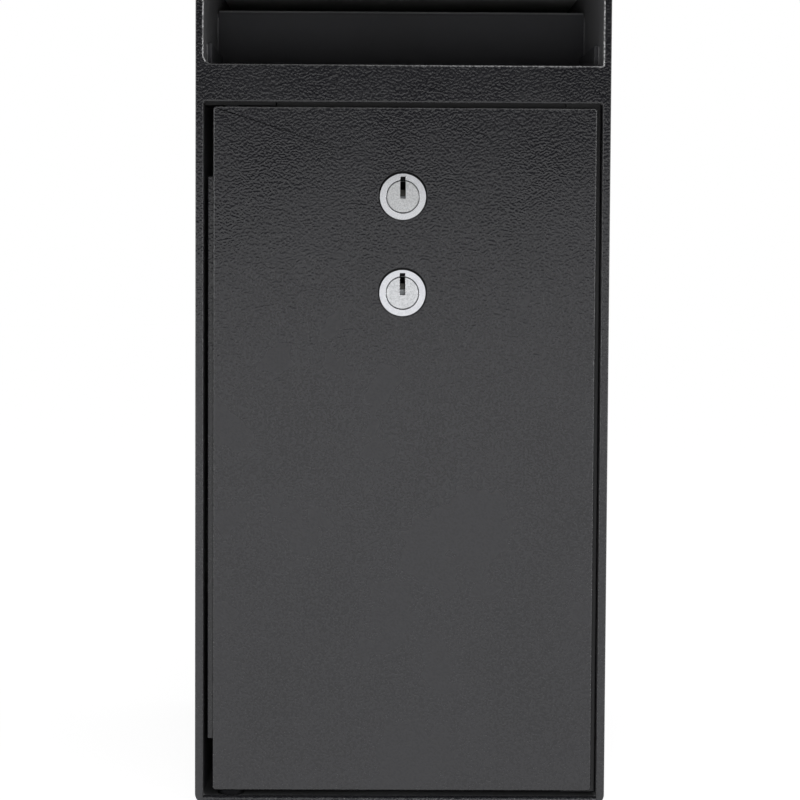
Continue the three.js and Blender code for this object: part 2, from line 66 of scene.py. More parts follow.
def settle(obj):
    """Applies the object's modifiers to its mesh."""
    bpy.context.view_layer.update()
    evaluated = obj.evaluated_get(bpy.context.evaluated_depsgraph_get())
    mesh = bpy.data.meshes.new_from_object(evaluated)
    old = obj.data
    obj.modifiers.clear()
    obj.data = mesh
    bpy.data.meshes.remove(old)
    return obj


def tidy(obj, angle=0.3, merge=0.002 * MM):
    """Joins split corners and turns flat triangles back into whole faces."""
    bm = bmesh.new()
    bm.from_mesh(obj.data)
    bmesh.ops.remove_doubles(bm, verts=bm.verts, dist=merge)
    bmesh.ops.dissolve_limit(bm, angle_limit=math.radians(angle), verts=bm.verts, edges=bm.edges)
    bmesh.ops.recalc_face_normals(bm, faces=bm.faces)
    bm.to_mesh(obj.data)
    bm.free()
    return obj


def combine(obj, others, operation):
    """Cuts the others out of obj, or keeps what they share with it, and removes them."""
    for other in others:
        modifier = obj.modifiers.new("combine", "BOOLEAN")
        modifier.operation = operation
        modifier.solver = "EXACT"
        modifier.object = other
        settle(obj)
        bpy.data.objects.remove(other)
    return tidy(obj)


def weigh_edges(obj, angle, weight):
    """Gives each edge sharper than an angle the bevel weight that fits its middle, and the others none."""
    bm = bmesh.new()
    bm.from_mesh(obj.data)
    layers = bm.edges.layers.float
    layer = layers.get("bevel_weight_edge") or layers.new("bevel_weight_edge")
    for edge in bm.edges:
        sharp = len(edge.link_faces) == 2 and edge.calc_face_angle(0) > angle
        middle = (edge.verts[0].co + edge.verts[1].co) / 2
        edge[layer] = weight(middle) if sharp else 0.0
    bm.to_mesh(obj.data)
    bm.free()


def round_edges(obj, width, segments=3, weight=None, clamp=True):
    """Rounds sharp edges by width, or by width times what weight gives for an edge's middle."""
    sharp_angle = math.radians(30)
    modifier = obj.modifiers.new("round", "BEVEL")
    modifier.width = width
    modifier.segments = segments
    modifier.miter_outer = "MITER_ARC"
    modifier.use_clamp_overlap = clamp
    if weight is None:
        modifier.limit_method = "ANGLE"
        modifier.angle_limit = sharp_angle
    else:
        modifier.limit_method = "WEIGHT"
        weigh_edges(obj, sharp_angle, weight)
    settle(obj)
    return smooth(obj)


def smooth(obj, angle=40):
    """Smooth shading that keeps flat faces flat."""
    obj.data.shade_smooth()
    obj.data.set_sharp_from_angle(angle=math.radians(angle))
    modifier = obj.modifiers.new("normals", "WEIGHTED_NORMAL")
    modifier.mode = "FACE_AREA"
    modifier.weight = 100
    modifier.keep_sharp = True
    return settle(obj)


def rounded_loop(x0, x1, z0, z1, radii, steps=8):
    """Corners go lower left, lower right, upper right, upper left."""
    corners = (
        (x0 + radii[0], z0 + radii[0], radii[0], 180),
        (x1 - radii[1], z0 + radii[1], radii[1], 270),
        (x1 - radii[2], z1 - radii[2], radii[2], 0),
        (x0 + radii[3], z1 - radii[3], radii[3], 90),
    )
    loop = []
    for cx, cz, radius, start in corners:
        for i in range(steps + 1):
            a = math.radians(start + 90 * i / steps)
            loop.append((cx + radius * math.cos(a), cz + radius * math.sin(a)))
    return loop


def circle_loop(cx, cy, radius, steps=48):
    turns = [2 * math.pi * i / steps for i in range(steps)]
    return [(cx + radius * math.cos(a), cy + radius * math.sin(a)) for a in turns]


def drawn_out(name, first, last):
    """The solid between two loops with as many points each."""
    count = len(first)
    faces = [tuple(range(count)), tuple(range(2 * count - 1, count - 1, -1))]
    faces += [(i, count + i, count + (i + 1) % count, (i + 1) % count) for i in range(count)]
    return tidy(object_from(name, [*first, *last], faces), 0.01)


def prism(name, loop, y0, y1):
    """A loop of (x, z) points drawn out from y0 to y1."""
    return drawn_out(name, [(x, y0, z) for x, z in loop], [(x, y1, z) for x, z in loop])


def upright_rod(name, x, y, radius, z0, z1):
    """A plain rod along Z, used as a cutter."""
    loop = circle_loop(x, y, radius)
    return drawn_out(name, [(cx, cy, z0) for cx, cy in loop], [(cx, cy, z1) for cx, cy in loop])


def block(name, x0, x1, y0, y1, z0, z1):
    return prism(name, [(x0, z0), (x1, z0), (x1, z1), (x0, z1)], y0, y1)


def lathe(name, profile, axis_x, axis_z, steps=48):
    """A profile of (y, radius) points turned about an axis along Y. Its ends close on the axis."""
    verts, rings = [], []
    for y, radius in profile:
        if radius == 0:
            rings.append([len(verts)])
            verts.append((axis_x, y, axis_z))
            continue
        rings.append(list(range(len(verts), len(verts) + steps)))
        for i in range(steps):
            a = 2 * math.pi * i / steps
            verts.append((axis_x + radius * math.sin(a), y, axis_z + radius * math.cos(a)))
    faces = []
    for a, b in zip(rings, rings[1:]):
        for i in range(steps):
            j = (i + 1) % steps
            if len(a) == 1:
                faces.append((a[0], b[i], b[j]))
            elif len(b) == 1:
                faces.append((a[i], b[0], a[j]))
            else:
                faces.append((a[i], b[i], b[j], a[j]))
    obj = object_from(name, verts, faces)
    bm = bmesh.new()
    bm.from_mesh(obj.data)
    bmesh.ops.recalc_face_normals(bm, faces=bm.faces)
    bm.to_mesh(obj.data)
    bm.free()
    return obj


def paint(obj, *materials, choose=None):
    """Gives a piece its materials: the first one all over, or for each face the one that choose gives."""
    obj.data.materials.clear()
    for material in materials:
        obj.data.materials.append(material)
    if choose is not None:
        for face in obj.data.polygons:
            face.material_index = materials.index(choose(face))
    return obj


def on_front_rim(face, depth_y):
    """Whether a face in front of a depth belongs to the rounding of an edge at the front."""
    flat_front, flat_side = -0.985, -0.12
    return face.center.y < depth_y and flat_front < face.normal.y < flat_side


def add(obj, body, slot, *nodes):
    """The piece rides on a body and stands for CAD nodes, which it hides. The slot is not used."""
    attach(obj, body)
    if nodes:
        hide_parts(*nodes)
    return obj


def copy_of(node, name):
    """A clean copy of a CAD node's mesh as a new piece."""
    obj = new_object(name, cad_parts[node].data.copy())
    return tidy(obj)


# Places read from the CAD nodes, and the case's sizes that a box doesn't give.

case_lo, case_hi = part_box("body_wrap")
bar_lo, bar_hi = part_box("front_crossbar")
jamb_lo, jamb_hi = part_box("lock_jamb")
door_lo, door_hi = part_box("door_panel")
chute_lo, chute_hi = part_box("drop_chute")
lintel_lo, lintel_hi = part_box("hinge_lintel")
pin_lo, pin_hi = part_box("lower_hinge_pin")

PLATE = bar_hi.y - bar_lo.y
SHEET = 1.5 * MM
WELD_CORNER = 1.0 * MM
SLOT_CORNER = 3.3 * MM
SLOT_CORNER_RIGHT = 0.6 * MM
SILL_ROUND = 2.7 * MM
BEND = 4.0 * MM
HOLE_RADIUS = 4.5 * MM
TOP_HOLES = [(x, y) for x in (-46 * MM, 46 * MM) for y in (-75 * MM, 75 * MM)]
BACK_HOLES = (66 * MM, 246 * MM)
PIVOT_HOLE_RADIUS = 3.3 * MM
OVER = 1.0 * MM  # how far a cutter runs past what it cuts
CLOSE = 0.02 * MM  # corners this near to each other are joined before a rounding
STRAIGHT = 0.9  # a normal past this share looks straight along an axis

front = case_lo.y
back = case_hi.y
half_in = case_hi.x - PLATE
floor_top = case_lo.z + PLATE
ceiling = case_hi.z - PLATE
bar_bottom = bar_lo.z + WELD_CORNER
bar_top = bar_hi.z - SLOT_CORNER
baffle_front = chute_hi.y - SHEET - SHEET
flange_front = front + 17 * MM
flange_top = bar_top + 9 * MM
pivot_x = (pin_lo.x + pin_hi.x) / 2
pivot_y = (pin_lo.y + pin_hi.y) / 2
lock_z = {level: sum(corner.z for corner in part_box(f"{level}_lock_housing")) / 2 for level in LEVELS}


# Node trees.

class Nodes:
    """A node tree being built."""

    def __init__(self, tree):
        self.tree = tree

    def put(self, value, socket):
        """Links what another node gives, or sets the value itself."""
        if isinstance(value, bpy.types.NodeSocket):
            self.tree.links.new(value, socket)
        else:
            socket.default_value = value

    def node(self, kind, **values):
        """A new node. Each value is one of its settings or, with _ for a space, one of its inputs."""
        made = self.tree.nodes.new("ShaderNode" + kind)
        for key, value in values.items():
            if hasattr(made, key):
                setattr(made, key, value)
            else:
                self.put(value, made.inputs[key.replace("_", " ")])
        return made

    def math(self, operation, *values):
        made = self.node("Math", operation=operation)
        for socket, value in zip(made.inputs, values):
            self.put(value, socket)
        return made.outputs[0]

    def pair(self, kind, first, second, **values):
        """A node that mixes or adds two shaders."""
        made = self.node(kind, **values)
        shader_inputs = [socket for socket in made.inputs if socket.type == "SHADER"]
        self.put(first.outputs[0], shader_inputs[0])
        self.put(second.outputs[0], shader_inputs[1])
        return made

    def glow(self, kind, strength):
        """A white Emission or Background."""
        return self.node(kind, Color=(1, 1, 1, 1), Strength=strength)


class Shader(Nodes):
    """A new material, built round its Principled shader."""

    def __init__(self, name):
        self.material = bpy.data.materials.new(name)
        self.material.use_nodes = True
        super().__init__(self.material.node_tree)
        self.shader = self.tree.nodes["Principled BSDF"]

    def feed(self, **values):
        """Gives the Principled shader values, and returns the material."""
        for key, value in values.items():
            self.put(value, self.shader.inputs[key.replace("_", " ")])
        return self.material

    def scaled(self, vector, factor):
        made = self.node("VectorMath", operation="SCALE", Scale=factor)
        self.put(vector, made.inputs[0])
        return made.outputs[0]

    def millimetres(self):
        """The piece's own coordinates, in millimetres."""
        return self.scaled(self.node("TexCoord").outputs["Object"], 1 / MM)

    def along(self, axis, where):
        return self.node("SeparateXYZ", Vector=where).outputs[axis]

    def noise(self, where, scale, detail=2.0, roughness=0.5, output="Fac"):
        made = self.node("TexNoise", Vector=where, Scale=scale, Detail=detail, Roughness=roughness)
        return made.outputs[output]

    def ramp(self, value, span, gives=(0.0, 1.0)):
        """A smooth step: gives' first number below the span, its second above, and a curve between."""
        made = self.node("MapRange", interpolation_type="SMOOTHSTEP", Value=value)
        for key, number in zip(("From Min", "From Max", "To Min", "To Max"), (*span, *gives)):
            made.inputs[key].default_value = number
        return made.outputs["Result"]

    def blend(self, factor, a, b):
        """From colour a to colour b. A tuple is a plain colour, and anything else is what a node gives."""
        a, b = ((*colour, 1) if isinstance(colour, tuple) else colour for colour in (a, b))
        return self.node("Mix", data_type="RGBA", A=a, B=b, Factor=factor).outputs["Result"]

    def bump(self, height, distance):
        return self.node("Bump", Strength=1, Distance=distance, Height=height).outputs["Normal"]


# Painted steel.

def wrinkle_coat(name, dark, light, roughness, relief, painted_highlight=False, across=None):
    """Wrinkle powder coat: short rounded ridges, wider than high, bent by a slow flow, lower near the foot.

    On a rim with a painted highlight, the crests take the light colour as painted highlights, the more the
    higher up.
    Elsewhere the crests are painted lighter as a sheen, the more the lower down, and patches add random
    tone.
    Across gives the two places along X between which that colour grows.
    """
    rise, highlight_rise = (120, 255), (145, 285)
    flow_scale, flow_reach = 0.11, 1.5
    ridge_scale, ridge_squash, ridge_turn = 1.15, (1.0, 1.0, 1.15), (0.62, 0.41, 0.53)

    s = Shader(name)
    where = s.millimetres()
    z = s.along("Z", where)
    centred = s.node("VectorMath", operation="SUBTRACT")
    s.put(s.noise(where, flow_scale, detail=1.0, output="Color"), centred.inputs[0])
    s.put((0.5, 0.5, 0.5), centred.inputs[1])
    bent = s.node("VectorMath", operation="ADD")
    s.put(where, bent.inputs[0])
    s.put(s.scaled(centred.outputs[0], flow_reach), bent.inputs[1])
    squashed = s.node("Mapping", Vector=bent.outputs[0], Scale=ridge_squash, Rotation=ridge_turn)
    crest = s.noise(squashed.outputs[0], ridge_scale, detail=0.0)
    height = s.math("MULTIPLY", crest, s.ramp(z, rise, (0.55, 0.73)))
    patches = s.noise(where, scale=0.03, detail=3.0, roughness=0.6)
    if painted_highlight:
        # Painted highlight: the crests take the light colour, the more the higher up.
        painted_lit = s.ramp(crest, (0.38, 0.62), (0.25, 1.0))
        tone = s.math("MULTIPLY", painted_lit, s.ramp(z, highlight_rise, (0.2, 1.0)))
    else:
        # Painted sheen: the crests are coloured lighter, the more the lower down, a painted light that is
        # lighter towards the bottom. The patches add random tone.
        grain = s.math("MULTIPLY", s.ramp(crest, (0.35, 0.65)), s.ramp(z, rise, (1.1, 0.5)))
        tone = s.math("ADD", grain, s.ramp(patches, (0.3, 0.7), (0.0, 0.5)))
    if across is not None:
        span = (across[0] / MM, across[1] / MM)
        tone = s.math("MULTIPLY", tone, s.ramp(s.along("X", where), span, (0.15, 1.0)))
    return s.feed(
        Base_Color=s.blend(tone, dark, light),
        Normal=s.bump(height, relief),
        Roughness=s.ramp(patches, (0.3, 0.7), (roughness - 0.03, roughness + 0.04)),
        Specular_IOR_Level=0.6,
    )


def sprayed(name, roughness):
    """The thinner coat inside, but for its colour: faint orange peel with small specks of dust.

    It gives the shader with its coordinates, and two noises: broad patches and the dust.
    """
    dust_share, relief = 0.25, 0.02 * MM
    s = Shader(name)
    where = s.millimetres()
    peel = s.noise(where, scale=0.45)
    dust = s.noise(where, scale=2.2, roughness=0.6)
    patches = s.noise(where, scale=0.04, detail=4.0, roughness=0.65)
    s.feed(
        Normal=s.bump(s.math("ADD", peel, s.math("MULTIPLY", dust, dust_share)), relief),
        Roughness=s.ramp(patches, (0.3, 0.7), (roughness - 0.04, roughness + 0.06)),
    )
    return s, where, patches, dust


def plain_coat(name, dark, light, roughness, top_shade=None):
    """The coat inside in two greys. Given its last argument, a colour and two heights, it paints shade in
    that colour, taking over between the heights.
    """
    s, where, patches, _ = sprayed(name, roughness)
    colour = s.blend(s.ramp(patches, (0.35, 0.68)), dark, light)
    if top_shade is not None:
        # Painted shade that takes over between the two heights.
        black, low, high = top_shade
        colour = s.blend(s.ramp(s.along("Z", where), (low / MM, high / MM)), colour, black)
    return s.feed(Base_Color=colour)


def painted_light_coat(name, deep, dark, light, rise, painted_highlight=None, edge=None):
    """The coat inside: painted lighter above the rise than the deep grey below it, as painted light in the
    hopper. Given an edge and a colour, it adds painted highlight specks at the edge's height and above.
    """
    fade, edge_start, edge_full = 3 * MM, 1.0 * MM, 0.6 * MM
    s, where, patches, dust = sprayed(name, roughness=0.5)
    z = s.along("Z", where)
    # Painted light: the coat is lighter above the rise.
    above = s.ramp(z, ((rise - fade) / MM, (rise + fade) / MM))
    painted_lit = s.blend(s.ramp(patches, (0.3, 0.7)), dark, light)
    colour = s.blend(s.math("SUBTRACT", 1.0, above), painted_lit, deep)
    if edge is not None:
        # Painted highlight in specks along the edge.
        highlight_specks = s.ramp(dust, (0.3, 0.6), (0.55, 1.0))
        at_edge = s.ramp(z, ((edge - edge_start) / MM, (edge - edge_full) / MM))
        colour = s.blend(s.math("MULTIPLY", at_edge, highlight_specks), colour, painted_highlight)
    return s.feed(Base_Color=colour)


FACE_RELIEF, RIM_RELIEF = 0.24 * MM, 0.3 * MM
# The outer coat, with a painted sheen on its crests that grows towards the bottom.
outer_coat = wrinkle_coat(
    "outer_coat", (0.0098, 0.0098, 0.012), (0.0185, 0.0185, 0.0213), roughness=0.25, relief=FACE_RELIEF
)
# Painted highlights: these rim coats colour the crests of the rounded front edges light, standing in for the
# highlights on them.
door_edge_highlight = wrinkle_coat(
    "door_edge_highlight", (0.012, 0.012, 0.014), (0.07, 0.07, 0.073), roughness=0.28, relief=RIM_RELIEF, painted_highlight=True
)
frame_edge_highlight = wrinkle_coat(
    "frame_edge_highlight", (0.01, 0.01, 0.012), (0.03, 0.03, 0.032), roughness=0.28, relief=RIM_RELIEF, painted_highlight=True
)
slot_edge_highlight = wrinkle_coat(
    "slot_edge_highlight", (0.06, 0.06, 0.061), (0.56, 0.56, 0.565), roughness=0.22, relief=RIM_RELIEF, painted_highlight=True
)
# The lip's painted highlight grows from left to right across the slot.
lip_highlight = wrinkle_coat(
    "lip_highlight",
    (0.02, 0.02, 0.021),
    (0.3, 0.3, 0.305),
    roughness=0.22,
    relief=RIM_RELIEF,
    painted_highlight=True,
    across=(-50 * MM, 45 * MM),
)
# Painted light: a near-white coat for the ceiling's underside above the slot, standing in for light in the
# dark shaft.
painted_light_ceiling = plain_coat("painted_light_ceiling", (0.52, 0.52, 0.52), (0.6, 0.6, 0.6), roughness=0.6)
inner_coat = plain_coat("inner_coat", (0.016, 0.016, 0.017), (0.024, 0.024, 0.026), roughness=0.48)
# Painted shade: a near-black coat for the stop, the lintel and the lock plate's front, behind the gaps round
# the door.
gap_shade_coat = plain_coat("gap_shade_coat", (0.0035, 0.0035, 0.004), (0.0055, 0.0055, 0.006), roughness=0.6)
# Painted shade: the jamb in the door's right gap is a darker copy of the inner coat, darker still from 190
# mm up to the door's top.
jamb_shade_coat = plain_coat(
    "jamb_shade_coat",
    (0.011, 0.011, 0.012),
    (0.017, 0.017, 0.018),
    roughness=0.48,
    top_shade=((0.006, 0.006, 0.0065), 190 * MM, door_hi.z),
)
# Painted light: the inside walls are lighter above the slot's sill, in the hopper, than the vault walls
# below.
wall_coat = painted_light_coat("wall_coat", (0.07, 0.07, 0.073), (0.1, 0.1, 0.105), (0.128, 0.128, 0.133), bar_top)
# Painted highlight: light specks along the top of the baffle.
chute_coat = painted_light_coat(
    "chute_coat",
    (0.04, 0.04, 0.042),
    (0.034, 0.034, 0.0375),
    (0.042, 0.042, 0.046),
    chute_lo.z - BEND,
    painted_highlight=(0.2, 0.2, 0.205),
    edge=chute_hi.z,
)


# Bare and plated metal.

def turned_metal(name, low, high, axis_z):
    """Plated metal turned on a lathe: fine rings round an axis along Y, through the piece's own x of 0."""
    ring_pitch, ring_share, relief = 0.22, 0.5, 0.0012 * MM
    s = Shader(name)
    where = s.millimetres()
    dx = s.along("X", where)
    dz = s.math("SUBTRACT", s.along("Z", where), axis_z / MM)
    radius = s.math("SQRT", s.math("ADD", s.math("MULTIPLY", dx, dx), s.math("MULTIPLY", dz, dz)))
    rings = s.math("SINE", s.math("MULTIPLY", radius, 2 * math.pi / ring_pitch))
    grain = s.noise(where, scale=3.0, detail=3.0, roughness=0.6)
    marks = s.noise(where, scale=0.5, detail=4.0, roughness=0.6)
    return s.feed(
        Base_Color=s.blend(s.ramp(marks, (0.35, 0.7)), low, high),
        Normal=s.bump(s.math("ADD", s.math("MULTIPLY", rings, ring_share), grain), relief),
        Roughness=s.ramp(marks, (0.3, 0.75), (0.16, 0.26)),
        Metallic=1,
    )


def grained_metal(name, low, high, roughness, grain_scale, relief):
    """Metal with an even fine grain, as on a tumbled plug."""
    s = Shader(name)
    grain = s.noise(s.millimetres(), grain_scale, detail=3.0, roughness=0.65)
    return s.feed(
        Base_Color=s.blend(s.ramp(grain, (0.35, 0.65)), low, high),
        Normal=s.bump(grain, relief),
        Roughness=s.ramp(grain, (0.35, 0.65), (roughness + 0.05, roughness - 0.05)),
        Metallic=1,
    )


def drawn_metal(name, low, high, roughness, stretch, relief):
    """Plated or ground steel with fine lines along its length and cloudy plating."""
    s = Shader(name)
    where = s.millimetres()
    squashed = s.node("Mapping", Vector=where, Scale=stretch)
    lines = s.noise(squashed.outputs[0], scale=1.0, detail=3.0, roughness=0.7)
    clouds = s.noise(where, scale=0.09, detail=4.0, roughness=0.6)
    return s.feed(
        Base_Color=s.blend(s.ramp(clouds, (0.32, 0.7)), low, high),
        Normal=s.bump(lines, relief),
        Roughness=s.ramp(lines, (0.3, 0.7), (roughness - 0.05, roughness + 0.1)),
        Metallic=1,
    )


def threaded_metal(name, low, high, roughness, pitch, relief):
    """A die-cast body with a rolled thread: ridges along Y, their grooves coloured darker as painted shade.
    """
    grain_share = 0.4
    s = Shader(name)
    where = s.millimetres()
    ridges = s.math("SINE", s.math("MULTIPLY", s.along("Y", where), 2 * math.pi / pitch))
    grain = s.noise(where, scale=2.0, roughness=0.6)
    return s.feed(
        # Painted shade: the thread's grooves are coloured darker than its crests.
        Base_Color=s.blend(s.ramp(ridges, (-0.9, 0.6)), low, high),
        Normal=s.bump(s.math("ADD", ridges, s.math("MULTIPLY", grain, grain_share)), relief),
        Roughness=s.ramp(grain, (0.3, 0.7), (roughness - 0.04, roughness + 0.08)),
        Metallic=1,
    )


LINES_ALONG_X = (0.25, 3.0, 3.0)
LINES_ALONG_Y = (2.0, 0.6, 2.0)
LINES_ALONG_Z = (3.0, 3.0, 0.4)
WAFER_LINES = (2.0, 2.0, 0.5)
GROUND, PLATED = 0.003 * MM, 0.004 * MM
zinc = drawn_metal("zinc", (0.52, 0.54, 0.57), (0.66, 0.67, 0.66), 0.3, LINES_ALONG_X, PLATED)
dark_steel = drawn_metal(
    "black_oxide", (0.03, 0.031, 0.034), (0.06, 0.06, 0.063), 0.42, LINES_ALONG_Z, GROUND
)
# Painted shade: a near-black steel for the hinge washer, so that it reads as the shade in the bottom gap.
washer_shade_steel = drawn_metal(
    "washer_shade_steel", (0.01, 0.01, 0.011), (0.02, 0.02, 0.021), 0.6, LINES_ALONG_Z, GROUND
)
wafer_metals = {
    # Painted shade: the upper wafer is a darker copy of the lower one's metal.
    "upper": drawn_metal(
        "shaded_nickel_silver", (0.035, 0.034, 0.032), (0.12, 0.118, 0.11), 0.45, WAFER_LINES, PLATED
    ),
    "lower": drawn_metal(
        "nickel_silver", (0.06, 0.059, 0.056), (0.14, 0.138, 0.13), 0.4, WAFER_LINES, PLATED
    ),
}
# Painted shade: a near-black metal for the faces in the keyways, round the lock heads' grooves and at the
# top and bottom of the plugs' grooves.
painted_shade_metal = drawn_metal(
    "painted_shade_metal", (0.014, 0.014, 0.0145), (0.032, 0.032, 0.033), 0.5, LINES_ALONG_Y, GROUND
)
thread = threaded_metal(
    "lock_thread", (0.34, 0.35, 0.37), (0.64, 0.65, 0.68), roughness=0.32, pitch=1.0, relief=0.05 * MM
)
# The upper ring is a slightly darker copy of the lower one: painted shade.
ring_metals = {
    "upper": turned_metal("upper_ring_nickel", (0.68, 0.69, 0.72), (0.77, 0.78, 0.80), lock_z["upper"]),
    "lower": turned_metal("lower_ring_nickel", (0.7, 0.71, 0.75), (0.8, 0.81, 0.84), lock_z["lower"]),
}
# The upper plug is a lighter copy of the lower one's colour: painted light. Their grain and roughness differ
# too.
plug_metals = {
    "upper": grained_metal(
        "upper_plug_nickel",
        (0.62, 0.63, 0.64),
        (0.86, 0.87, 0.88),
        roughness=0.34,
        grain_scale=2.6,
        relief=0.010 * MM,
    ),
    "lower": grained_metal(
        "lower_plug_nickel",
        (0.64, 0.65, 0.67),
        (0.74, 0.75, 0.77),
        roughness=0.26,
        grain_scale=1.6,
        relief=0.004 * MM,
    ),
}


# Case.

def sill_cutter(radius, steps=10):
    """Takes the upper front edge of the floor down to a quarter round."""
    profile = [(front - OVER, floor_top - radius)]
    for i in range(steps + 1):
        a = math.radians(90 * i / steps)
        profile.append((front + radius * (1 - math.cos(a)), floor_top - radius * (1 - math.sin(a))))
    profile += [(front + radius, floor_top + OVER), (front - OVER, floor_top + OVER)]
    return drawn_out(
        "cut_sill",
        [(-half_in, y, z) for y, z in profile],
        [(half_in, y, z) for y, z in profile],
    )


def back_seam():
    """The groove round the back plate, where it is welded into the band."""
    deep, wide, steps = 0.5 * MM, 0.6 * MM, 5
    outer = rounded_loop(-half_in, half_in, floor_top, ceiling, [WELD_CORNER] * 4, steps)
    inner = rounded_loop(
        wide - half_in, half_in - wide, floor_top + wide, ceiling - wide, [0.5 * MM] * 4, steps
    )
    seam = prism("cut_seam", outer, back - deep, back + OVER)
    core = prism("cut_seam_core", inner, back - 2 * OVER, back + 2 * OVER)
    return combine(seam, [core], "DIFFERENCE")


def case_openings():
    """What is cut from the case: its inside, the door's opening, the slot, the holes and the sill."""
    small = [WELD_CORNER] * 4
    slot = [SLOT_CORNER, SLOT_CORNER_RIGHT, WELD_CORNER, WELD_CORNER]
    inside = rounded_loop(-half_in, half_in, floor_top, ceiling, small)
    door_way = rounded_loop(-half_in, half_in, floor_top, bar_bottom, small)
    slot_way = rounded_loop(-half_in, half_in, bar_top, ceiling, slot)
    through = (front - OVER, front + PLATE + OVER)
    cutters = [
        prism("cut_inside", inside, front + PLATE, back - PLATE),
        prism("cut_door", door_way, *through),
        prism("cut_slot", slot_way, *through),
    ]
    for x, y in TOP_HOLES:
        cutters.append(upright_rod("cut_hole", x, y, HOLE_RADIUS, ceiling - OVER, case_hi.z + OVER))
    for z in BACK_HOLES:
        hole = circle_loop(0, z, HOLE_RADIUS)
        cutters.append(prism("cut_hole", hole, back - PLATE - OVER, back + OVER))
    cutters.append(
        upright_rod("cut_pivot", pivot_x, pivot_y, PIVOT_HOLE_RADIUS, case_lo.z - OVER, floor_top + OVER)
    )
    cutters.append(sill_cutter(SILL_ROUND))
    return cutters


def case_shell():
    outline = rounded_loop(case_lo.x, case_hi.x, case_lo.z, case_hi.z, [BEND] * 4, 10)
    shell = prism("case_shell", outline, front, back)
    combine(shell, case_openings(), "DIFFERENCE")
    combine(shell, [back_seam()], "DIFFERENCE")

    def width(middle):
        """Widest round the openings at the front, and none on the sill and the ground."""
        slack, rim = 0.1 * MM, 0.6 * MM
        if middle.y > front + SILL_ROUND + slack:
            return 0.25
        sill = floor_top - SILL_ROUND - slack < middle.z < floor_top + WELD_CORNER
        if (sill and abs(middle.x) < half_in + slack) or middle.z < 1 * MM:
            return 0.0
        outside = abs(middle.x) > half_in + rim or middle.z > ceiling + rim
        return 0.6 if outside else 0.7

    def coat(face):
        near, rim_depth, rim_width = 0.05 * MM, 1.2 * MM, 1 * MM
        x, y, z = face.center
        within = abs(x) < half_in + near and floor_top - near < z < ceiling + near
        if within and front + PLATE / 2 < y < back - PLATE + near:
            # The ceiling's underside above the slot takes the near-white painted light. The other inside
            # faces take the wall coat.
            return painted_light_ceiling if face.normal.z < -STRAIGHT and z > bar_top else wall_coat
        if z <= floor_top + near or not on_front_rim(face, front + rim_depth):
            return outer_coat
        # The front rims take painted highlights: brightest on the slot's edges and lip, faint on the frame's
        # edges.
        if abs(x) < half_in + rim_width and bar_top - rim_width < z < ceiling + rim_width:
            return lip_highlight if face.normal.z > abs(face.normal.x) else slot_edge_highlight
        return frame_edge_highlight

    tidy(shell, merge=CLOSE)
    round_edges(shell, 0.8 * MM, segments=4, weight=width, clamp=False)
    paint(shell, outer_coat, wall_coat, frame_edge_highlight, painted_light_ceiling, slot_edge_highlight, lip_highlight, choose=coat)
    return add(shell, "case", "powder_coat", "body_wrap", "front_crossbar", "back_plate")


def dressed(node, body, slot, material, width, segments=2, name=None, clamp=True):
    """A CAD node's shape with rounded edges and a finish."""
    obj = tidy(copy_of(node, name or f"{node}_shown"), merge=CLOSE)
    round_edges(obj, width, segments, clamp=clamp)
    paint(obj, material)
    return add(obj, body, slot, node)


case_shell()
dressed("drop_chute", "case", "inner_coat", chute_coat, 0.35 * MM, segments=3, name="hopper_and_baffle")
dressed("lock_jamb", "case", "inner_coat", jamb_shade_coat, 0.5 * MM)
# The stop and the lintel behind the top gap take painted shade.
dressed("top_stop", "case", "inner_coat", gap_shade_coat, 0.4 * MM)
dressed("hinge_lintel", "case", "inner_coat", gap_shade_coat, 0.4 * MM)
# The washer takes the painted shade of the gap.
dressed("hinge_washer", "case", "dark_steel", washer_shade_steel, 0.25 * MM)


def weld_bead(name, start, end, radius, material=inner_coat):
    """A weld with the ripples of its pool, part sunk in the corner it fills."""
    ring_every, ripple_every = 0.35 * MM, 1.5 * MM
    ripple_share, lump_share, lump_scale = 0.1, 0.08, 900
    end_slope, end_share = 10, 0.02
    steps = 14
    start, end = Vector(start), Vector(end)
    length = (end - start).length
    along = (end - start).normalized()
    side = along.orthogonal().normalized()
    other = along.cross(side)
    rings = max(12, int(length / ring_every))
    verts, faces = [], []
    for i in range(rings + 1):
        t = i / rings
        ripple = 1 + ripple_share * math.sin(length * t / ripple_every * 2 * math.pi)
        taper = min(1, math.sqrt(max(0, min(t, 1 - t)) * end_slope + end_share))
        centre = start.lerp(end, t)
        for k in range(steps):
            a = 2 * math.pi * k / steps
            lump = 1 + lump_share * noise.noise((centre + side * k) * lump_scale)
            out = side * math.cos(a) + other * math.sin(a)
            verts.append(centre + out * radius * ripple * taper * lump)
    for i in range(rings):
        for k in range(steps):
            a, b = i * steps + k, i * steps + (k + 1) % steps
            faces.append((a, b, b + steps, a + steps))
    faces += [tuple(range(steps - 1, -1, -1)), tuple(rings * steps + k for k in range(steps))]
    obj = object_from(name, verts, faces)
    obj.data.shade_smooth()
    paint(obj, material)
    return add(obj, "case", "inner_coat")


